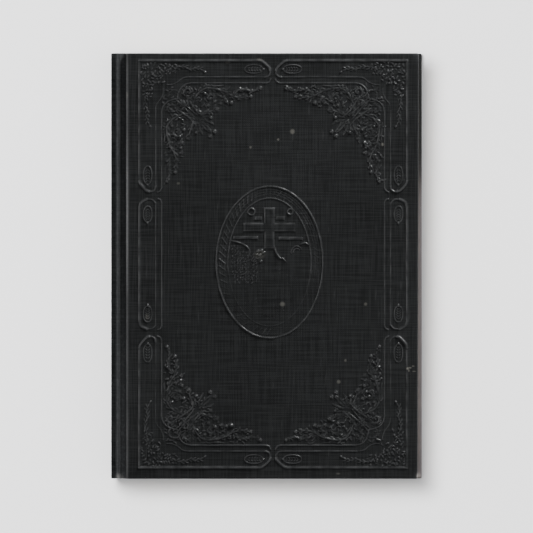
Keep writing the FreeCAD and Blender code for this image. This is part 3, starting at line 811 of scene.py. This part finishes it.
def small_leaves(count, low, high, gap, inside):
    """Short bent strokes scattered where inside(u, v) holds, each at least gap from the ones
    before. They lie along waves: 80 degrees times the sine of 0.55 u + 0.8 v, and some chance."""
    placed = []
    lines = []
    for u, v in sway.uniform(low, high, (count * 9, 2)):
        if not inside(u, v) or any((u - a) ** 2 + (v - b) ** 2 < gap ** 2 for a, b in placed):
            continue
        placed.append((u, v))
        turn = 80.0 * math.sin(0.55 * u + 0.8 * v) + sway.uniform(-40.0, 40.0)
        stroke = leaf_lobe(u, v, turn, sway.uniform(0.7, 1.7) * gap, sway.uniform(-110.0, 110.0))
        lines.append((stroke, sway.uniform(0.34, 0.5), sway.uniform(0.14, 0.3)))
    return lines[:count]


def scatter(relief, *region):
    """Small leaves in both halves of the four corners, different each time."""
    for corner in CORNERS:
        for swapped in (False, True):
            for path, radius, height in small_leaves(*region):
                places = corner_places(path[:, ::-1] if swapped else path, *corner)
                relief.line(places, radius * 1.2, height * 1.25, 0.4)


def leafy_scroll(cx, cy, radius, start, turns):
    """A curl with a bead in its eye and lobes along the outside of its first half."""
    curl = spiral(cx, cy, radius, start, turns)
    lines = [(curl, 0.55, 0.36), (np.array([[cx, cy], [cx + 0.05, cy + 0.05]]), 0.6, 0.38)]
    count = max(3, int(radius * 2.2))
    for number in range(count):
        at = int(3 + 22 * number / count)
        out = curl[at] - [cx, cy]
        angle = math.degrees(math.atan2(out[1], out[0])) + math.copysign(48.0, turns)
        lobe = leaf_lobe(*curl[at], angle, 0.42 * radius + 0.35, math.copysign(35.0, turns))
        lines.append((lobe, 0.42, 0.3))
    return lines


def corner_spray():
    """Scrolls and leaves of one corner, up to the diagonal: a long stem swings away along the
    frame, with curled leaves in its bends, lobes on both sides and berries on the open edge."""
    arm = ((21.4, 17.6), (23.4, 13.4), (26.5, 11.2), (30.5, 11.4), (34.6, 12.5), (37.2, 14.1))
    arm += ((40.6, 14.9), (44.0, 14.5))
    tip = ((37.6, 14.2), (39.6, 12.0), (42.6, 11.6), (45.2, 12.3), (48.2, 11.2))
    crook = ((19.1, 14.4), (21.1, 17.5), (23.2, 20.3), (25.0, 21.6), (27.8, 20.7), (30.6, 19.8))
    lines = []
    for knots, first, last in ((arm, 2.4, 1.4), (tip, 1.5, 0.9), (crook, 2.0, 1.7)):
        stem = curve_through(*knots)
        lines.append((stem, 0.56, 0.4))
        for share in np.linspace(0.08, 0.94, max(5, int(len(stem) / 7.5))):
            for side in (-1, 1):
                at = int(share * (len(stem) - 2))
                ahead = stem[at + 1] - stem[at]
                angle = math.degrees(math.atan2(ahead[1], ahead[0]))
                length = first + (last - first) * share
                lobe = leaf_lobe(*stem[at], angle + side * 55.0, length, -side * 50.0)
                lines.append((lobe, 0.48, 0.32))
    for scroll in (
        (28.6, 15.2, 2.2, 60.0, -0.9),
        (33.4, 16.0, 1.4, -100.0, 0.8),
        (19.6, 12.6, 2.0, 130.0, 0.9),
        (17.9, 16.8, 1.9, -40.0, 0.9),
    ):
        lines += leafy_scroll(*scroll)
    berries = [(48.4, 11.2, 0.75), (44.6, 14.5, 0.8), (40.3, 11.3, 0.65), (36.8, 17.0, 0.9)]
    berries += [(34.9, 16.7, 0.7), (32.8, 17.2, 0.8), (31.0, 19.8, 0.95), (30.3, 16.4, 0.7)]
    berries += [(27.6, 18.0, 0.75), (28.6, 23.0, 0.75), (30.1, 28.6, 0.9), (26.2, 13.3, 0.6)]
    lines += strokes(*[(size, 0.5, (u, v), (u + 0.3, v - 0.2)) for u, v, size in berries])
    lines += strokes(
        (0.42, 0.34, (14.2, 15.2), (16.8, 17.4), (19.8, 20.8), (22.0, 23.4)),
        (0.42, 0.26, (11.6, 13.2), (13.4, 12.0), (15.4, 12.2), (16.6, 14.0), (16.2, 15.6)),
        (0.4, 0.3, (25.0, 9.9), (28.4, 10.1), (31.0, 10.2), (34.0, 10.0)),
    )
    for direction, length in ((-40.0, 4.4), (-10.0, 5.2), (18.0, 5.8), (42.0, 6.4)):
        a = math.radians(direction)
        u, v = 23.4 + 1.1 * math.cos(a), 23.4 + 1.1 * math.sin(a)
        lines.append((leaf_lobe(u, v, direction - 12.0, length, 26.0), 0.55, 0.26))
    lines.append((leaf_lobe(27.4, 27.4, 12.0, 2.2, 70.0), 0.5, 0.36))
    return lines


def spray_depth(u):
    """How far a spray reaches in from the frame at u along it: least at the arm's end, and straight
    between the places given."""
    along = [22.0, 27.0, 28.8, 31.0, 36.0, 43.7, 48.0]
    return np.interp(u, along, [29.0, 27.5, 22.0, 19.2, 17.4, 14.0, 11.4])


def all_corners(relief, lines, taper=0.0, broad=1.0):
    """Every line, and its mirror in the corner's diagonal, in the four corners of the frame."""
    for path, radius, height in lines:
        for swapped in (path, path[:, ::-1]):
            for corner in CORNERS:
                uneven = height * sway.uniform(0.8, 1.2)
                relief.line(corner_places(swapped, *corner), radius * broad, uneven, taper)


def relief_piece(name, relief, crest_rub_and_highlight, level, swing):
    """The grid's quads that hold some relief, over the uneven cloth, with the grid's level sunk
    under it. The cloth was pressed up unevenly: heights are scaled by level plus swing times waves.
    Shine is how far a place stands out from those around it, times its height. The crests are
    painted
    paler by shine times the third argument: partly worn cloth, partly a painted highlight."""
    used = np.zeros((relief.x.size - 1, relief.y.size - 1), bool)
    for i in (0, 1):
        for j in (0, 1):
            corner = relief.h[i:relief.x.size - 1 + i, j:relief.y.size - 1 + j]
            used |= corner > RELIEF_LEAST
    i, j = np.nonzero(used)
    here, ahead = i * relief.y.size + j, (i + 1) * relief.y.size + j
    quads = np.stack([here, ahead, ahead + 1, here + 1], axis=-1)
    kept, quads = np.unique(quads, return_inverse=True)
    gx, gy = np.meshgrid(relief.x, relief.y, indexing="ij")
    waves = np.sin(620.0 * gx + 2.0 * np.sin(290.0 * gy))
    waves *= np.sin(540.0 * gy + 1.7 * np.sin(330.0 * gx))
    relief.h *= level + swing * waves
    x, y, h = gx.ravel()[kept], gy.ravel()[kept], relief.h.ravel()[kept]
    z = front_face + cloth_lift(x, y) + h - RELIEF_SINK
    near = sum(np.roll(relief.h, step, axis) for step in (-3, 3) for axis in (0, 1)) / 4.0
    crest = np.clip((relief.h - near).ravel()[kept] / CREST_RISE, 0.0, 1.0)
    shine = crest * np.clip(h / SHINY_HEIGHT, 0.0, 1.0)
    faces = quads.reshape(-1, 4).tolist()
    points = np.stack([x, y, z], axis=-1)
    # Paler crests: partly worn cloth, partly a painted highlight.
    piece = closed_mesh(name, points, faces, black_cloth, wear=crest_rub_and_highlight * shine, shine=shine)
    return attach(piece, "front_cover")


panels = Relief(FRAME_LEFT - MM, FRAME_RIGHT + MM, FRAME_FOOT - MM, FRAME_HEAD + MM)
all_corners(panels, frame_corner_lines())
all_corners(panels, frame_corner_fills(), 0.3)
scatter(panels, 60, (1.2, 1.0), (14.5, 9.4), 0.95, lambda u, v: v < u and (v < 5.6 or u < 9.4))
side_start, side_end = PANEL + 3.1, (FRAME_HEAD - FRAME_FOOT) / MM - PANEL - 3.1
side_middle = 0.5 * (side_start + side_end)
side_edge = ((0.0, side_middle), (0.0, side_start + 6.0), (0.0, side_start + 3.2))
side_panel = [(curve_through(*side_edge, per=6), FRAME_LINE, 0.34)]
side_panel += strokes(
    (FRAME_LINE, 0.34, side_edge[-1], (0.7, side_start + 1.2), (3.0, side_start)),
    (0.5, 0.26, (3.0, side_start), (5.2, side_start + 0.2), (PANEL_BAND, side_start + 1.6)),
    (0.46, 0.2, (PANEL_BAND, side_start + 1.6), (PANEL_BAND, side_middle)),
    (0.5, 0.26, (7.6, side_start - 0.2), (8.6, side_start + 0.3), (INNER_LINE, side_start + 1.4)),
    (0.46, 0.25, (INNER_LINE, side_start + 1.4), (INNER_LINE, side_middle)),
)
for path, radius, height in panel_leaf(side_start + 6.0, 3.4, 3.2, 1.7):
    side_panel.append((path[:, ::-1], radius, height))
for corner in CORNERS:
    for path, radius, height in side_panel:
        panels.line(corner_places(path, *corner), radius, height)
relief_piece("raised_frame", panels, 0.15, 0.95, 0.3)

sprays = Relief(FRAME_LEFT + 8 * MM, FRAME_RIGHT - 8 * MM, FRAME_FOOT + 8 * MM, FRAME_HEAD - 8 * MM)
all_corners(sprays, corner_spray(), 0.45, 1.45)
scatter(sprays, 95, (10.6, 10.4), (48.0, 29.0), 1.35, lambda u, v: v < min(u, spray_depth(u)))
relief_piece("raised_corner_sprays", sprays, 0.06, 0.84, 0.4)

OVAL_X, OVAL_Y = 1.2 * MM, 1.5 * MM
OVAL_WIDE, OVAL_TALL = 21.4 * MM, 30.4 * MM
CABLE_LEAN = 0.07
CABLE_STROKES = 64
medal_x = (OVAL_X - OVAL_WIDE - MM, OVAL_X + OVAL_WIDE + MM)
medal = Relief(*medal_x, OVAL_Y - OVAL_TALL - MM, OVAL_Y + OVAL_TALL + MM)


def oval_place(angle, inset):
    """The place at an angle on the oval ring that lies inset within the outer one."""
    return [
        OVAL_X + (OVAL_WIDE - inset) * math.cos(angle),
        OVAL_Y + (OVAL_TALL - inset) * math.sin(angle),
    ]


rings = ((1.25, 0.3, 0.12), (2.2, 0.3, 0.12), (3.15, 0.3, 0.12), (4.7, 0.42, 0.24))
for inset, radius, height in rings:
    ring = arc(OVAL_X, OVAL_Y, OVAL_WIDE - inset * MM, OVAL_TALL - inset * MM, 0, 360, 240)
    medal.line(ring, radius, height)
for number in range(CABLE_STROKES):
    a = 2.0 * math.pi * (number + 0.5) / CABLE_STROKES
    height = 0.26 if 0.3 < a / (2.0 * math.pi) < 0.75 else 0.12
    cable = np.array([oval_place(a, 1.1 * MM), oval_place(a + CABLE_LEAN, 3.5 * MM)])
    medal.line(cable, 0.36, height * sway.uniform(0.6, 1.2))
medal.h *= 1.0 - 0.6 * np.clip((OVAL_Y + 2.0 * MM - medal.y) / (14.0 * MM), 0.0, 1.0)
medal.line(arc(OVAL_X, OVAL_Y, OVAL_WIDE, OVAL_TALL, 0, 360, 240), 0.6, 0.32)
CROSS = np.array([OVAL_X - 0.1 * MM, OVAL_Y])
SHOULDER = 0.3 * MM
for block in (
    (0.0, 17.2, 2.2, 4.7, 0.34),
    (-4.4, 17.6, 1.5, 0.7, 0.26),
    (4.4, 17.6, 1.8, 0.7, 0.26),
    (0.0, 14.0, 10.4, 1.7, 0.34),
    (-9.5, 9.8, 5.0, 0.6, 0.32),
    (8.6, 9.5, 4.9, 0.6, 0.32),
    (0.0, 9.0, 2.0, 3.6, 0.34),
    (0.0, -6.6, 2.0, 15.0, 0.07),
):
    cx, cy, half_x, half_y, height = np.array(block) * MM
    medal.plateau(CROSS[0] + cx, CROSS[1] + cy, half_x, half_y, height, SHOULDER)


def by_cross(path, radius, height, taper=0.0):
    """A line whose path is in millimetres from the middle of the oval's cross."""
    medal.line(np.asarray(path) * MM + CROSS, radius, height, taper)


for side, height in ((-1, 0.2), (1, 0.4)):
    foot = [(1.9, 9.0), (2.0, 6.4), (2.9, 3.6), (4.4, 1.6), (5.4, 1.5), (6.6, 0.3)]
    by_cross(curve_through(*[(side * x, y) for x, y in foot]), 0.5, height, 0.2)
beads = [(-4.8, 4.4, 0.9), (-3.4, 4.6, 1.0), (-2.4, 3.8, 0.8), (-4.0, 2.8, 0.9)]
beads += [(-5.3, 3.0, 0.6), (-3.6, 0.2, 0.7)]
for x, y, radius in beads:
    by_cross([(x, y), (x + 0.4, y + 0.2)], radius, 0.42)
for radius in (2.2, 1.3):
    by_cross(arc(11.0, 4.2, radius, radius, 20, 200), 0.4, 0.24, 0.3)
for x, y, radius in ((-7.2, 20.3, 1.35), (8.4, 20.3, 1.1)):
    by_cross(arc(x, y, radius, radius, 0, 360), 0.5, 0.34)
left_hill = curve_through((-15.9, 8.7), (-12.6, 8.0), (-9.2, 6.4), (-7.9, 4.3), (-8.4, 2.0))
for hill in (left_hill, curve_through((16.0, 6.9), (14.4, 7.7), (12.4, 7.2))):
    by_cross(hill, 0.55, 0.36, 0.4)
for x in np.arange(-15.0, 12.0, 1.05):
    for y in np.arange(-23.0, 7.0, 0.85):
        share = 0.95 if x < -5.0 and y > -9.0 else 0.35
        outside = (x / 15.6) ** 2 + (y / 24.6) ** 2 > 1.0 or y > -0.55 * x - 1.0
        if outside or sway.uniform() > share:
            continue
        start = np.array([x, y]) + sway.uniform(-0.3, 0.3, 2)
        stroke = leaf_lobe(*start, 48.0 + sway.uniform(-30, 30), sway.uniform(0.5, 1.1), 40.0)
        by_cross(stroke, 0.36, sway.uniform(0.12, 0.28) * share, 0.3)
relief_piece("raised_oval_and_cross", medal, 0.12, 0.95, 0.35)


# ------------------------------
# Endpapers and loose leaves. A pastedown lines each cover from the hinge line to the fore-edge;
# the leaves behind it are single thin flat sheets held in the back.
HINGE_LINE = cad_low.x + 2.6 * MM
ENDPAPER = 0.12 * MM
end_paper = paper_paint("endpaper", (0.66, 0.60, 0.48, 1.0), (0.46, 0.37, 0.25, 1.0), ENDPAPER)


def page(name, x0, x1, y0, y1, z0, z1, material, out_of_square=0.0):
    """A thin closed sheet: an upper and a lower grid, joined round the rim. Columns are close
    together near the gutter: x = x0 + length times t to the power 1.8."""
    t = np.linspace(0.0, 1.0, 70) ** 1.8
    xs = x0 + (x1 - x0) * t
    ys = np.linspace(y0, y1, 40)
    gx, gy = np.meshgrid(xs, ys, indexing="ij")
    far = np.clip((gx - x0) / (x1 - x0), 0.0, 1.0)
    gx = gx - out_of_square * far * (y1 - gy) / (y1 - y0)
    edge = np.minimum.reduce([gx.max() - gx, gy - y0, y1 - gy])
    rim = bell(edge, 1.6 * MM).ravel()
    points = [np.stack([gx, gy, np.full(gx.shape, z)], -1).reshape(-1, 3) for z in (z0, z1)]
    nx, ny = gx.shape
    loop = grid_rim(nx, ny)
    after = np.roll(loop, -1)
    sides = np.stack([loop, after, after + nx * ny, loop + nx * ny], axis=-1).tolist()
    top = (np.array(grid_faces(nx, ny, flip=True)) + nx * ny).tolist()
    faces = grid_faces(nx, ny) + top + sides
    rims = np.concatenate([rim, rim])
    return closed_mesh(name, np.concatenate(points), faces, material, False, rim=rims)


def hang(sheet, body, level, start, end, *nodes):
    """Fix a sheet's transform into its points and hide the CAD nodes it stands for. What it turns
    with and the given distances from the hinge line are not used."""
    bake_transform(sheet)
    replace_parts(sheet, *nodes)


for node, body, lean in (
    ("front_pastedown", "front_cover", OUT_OF_SQUARE),
    ("rear_pastedown", "rear_cover", 0.0),
):
    low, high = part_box(node)
    z0 = low.z if body == "front_cover" else high.z - ENDPAPER - 0.01 * MM
    start, ends = HINGE_LINE + 0.2 * MM, (low.y, high.y)
    sheet = page(
        node + "_paper", start, high.x, *ends, z0 + 0.01 * MM, z0 + ENDPAPER, end_paper, lean
    )
    hang(sheet, body, z0, 0.3 * MM, 3.6 * MM, node)

inner_leaves = ["title_leaf", "leaf_3", "leaf_4", "leaf_5", "last_leaf"]
for node in ["front_flyleaf", *inner_leaves, "rear_flyleaf"]:
    low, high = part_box(node)
    plain = node.endswith("flyleaf")
    sheet = page(
        node + "_paper",
        HINGE_LINE + 0.5 * MM,
        high.x - abs(chance.normal(0.0, 0.06 * MM)),
        low.y + abs(chance.normal(0.0, 0.05 * MM)),
        high.y - abs(chance.normal(0.0, 0.05 * MM)),
        low.z,
        high.z,
        end_paper if plain else block_paper,
    )
    hang(sheet, node, low.z, 0.6 * MM, 9.0 * MM, node)


# ------------------------------
# Where the book is shown: on a plain pale table, from straight above. A wide soft lamp at the head
# and spine side throws the shadow; a low lamp past the head and fore-edge catches the raised lines,
# and two weak lamps from both sides keep the walls of the book from going black.
TABLE_HALF = 6.0
TABLE_DROP = 0.0002
LAMP_AIM = np.array([0.0, 0.0, 0.01])
table_paint = Paint("table", roughness=0.9, specular=0.05)
table_paint.shader.inputs["Base Color"].default_value = (0.78, 0.78, 0.785, 1.0)
table_points = np.array([[-1, -1, 0], [1, -1, 0], [1, 1, 0], [-1, 1, 0]]) * TABLE_HALF
table_points -= [0.0, 0.0, TABLE_DROP]
table = closed_mesh("table", table_points, [[0, 1, 2, 3]], table_paint.material, False)


def lamp(name, place, size, power, lit):
    """A square area lamp that faces the book and lights one collection only."""
    light = bpy.data.lights.new(name, "AREA")
    light.size = size
    light.energy = power
    thing = bpy.data.objects.new(name, light)
    thing.location = place
    direction = Vector((LAMP_AIM - place).tolist())
    thing.rotation_euler = direction.to_track_quat("-Z", "Y").to_euler()
    thing.light_linking.receiver_collection = lit
    bpy.context.scene.collection.objects.link(thing)


book_pieces = bpy.data.collections.new("book_pieces")
for thing in bpy.data.objects:
    if thing.type == "MESH" and thing != table:
        book_pieces.objects.link(thing)
stage_pieces = bpy.data.collections.new("stage_pieces")
stage_pieces.objects.link(table)
lamp("table_lamp", (-0.41, 0.34, 1.6), 0.58, 66.5, stage_pieces)
lamp("table_fill", (0.0, 0.0, 0.42), 1.5, 8.2, stage_pieces)
lamp("low_lamp", (0.50, 0.84, 0.28), 0.26, 23.0, book_pieces)
lamp("right_lamp", (0.6, -0.7, 1.0), 0.6, 3.0, book_pieces)
lamp("left_lamp", (-0.8, 0.1, 1.2), 0.6, 5.2, book_pieces)

world = bpy.data.worlds.new("room")
bpy.context.scene.world = world
world.use_nodes = True
backdrop = world.node_tree.nodes["Background"]
backdrop.inputs["Color"].default_value = (0.95, 0.97, 1.0, 1.0)
backdrop.inputs["Strength"].default_value = 0.14

VIEW_WIDTH = 214.08 * MM
CAMERA_HEIGHT = 10.0
CAMERA_SHIFT = -0.2 * MM
SENSOR = 36.0
view_camera = bpy.data.cameras.new("camera")
view_camera.sensor_width = SENSOR
view_camera.lens = SENSOR * (CAMERA_HEIGHT - front_face) / VIEW_WIDTH
camera = bpy.data.objects.new("camera", view_camera)
camera.location = (0.0, CAMERA_SHIFT, CAMERA_HEIGHT)
bpy.context.scene.collection.objects.link(camera)
bpy.context.scene.camera = camera
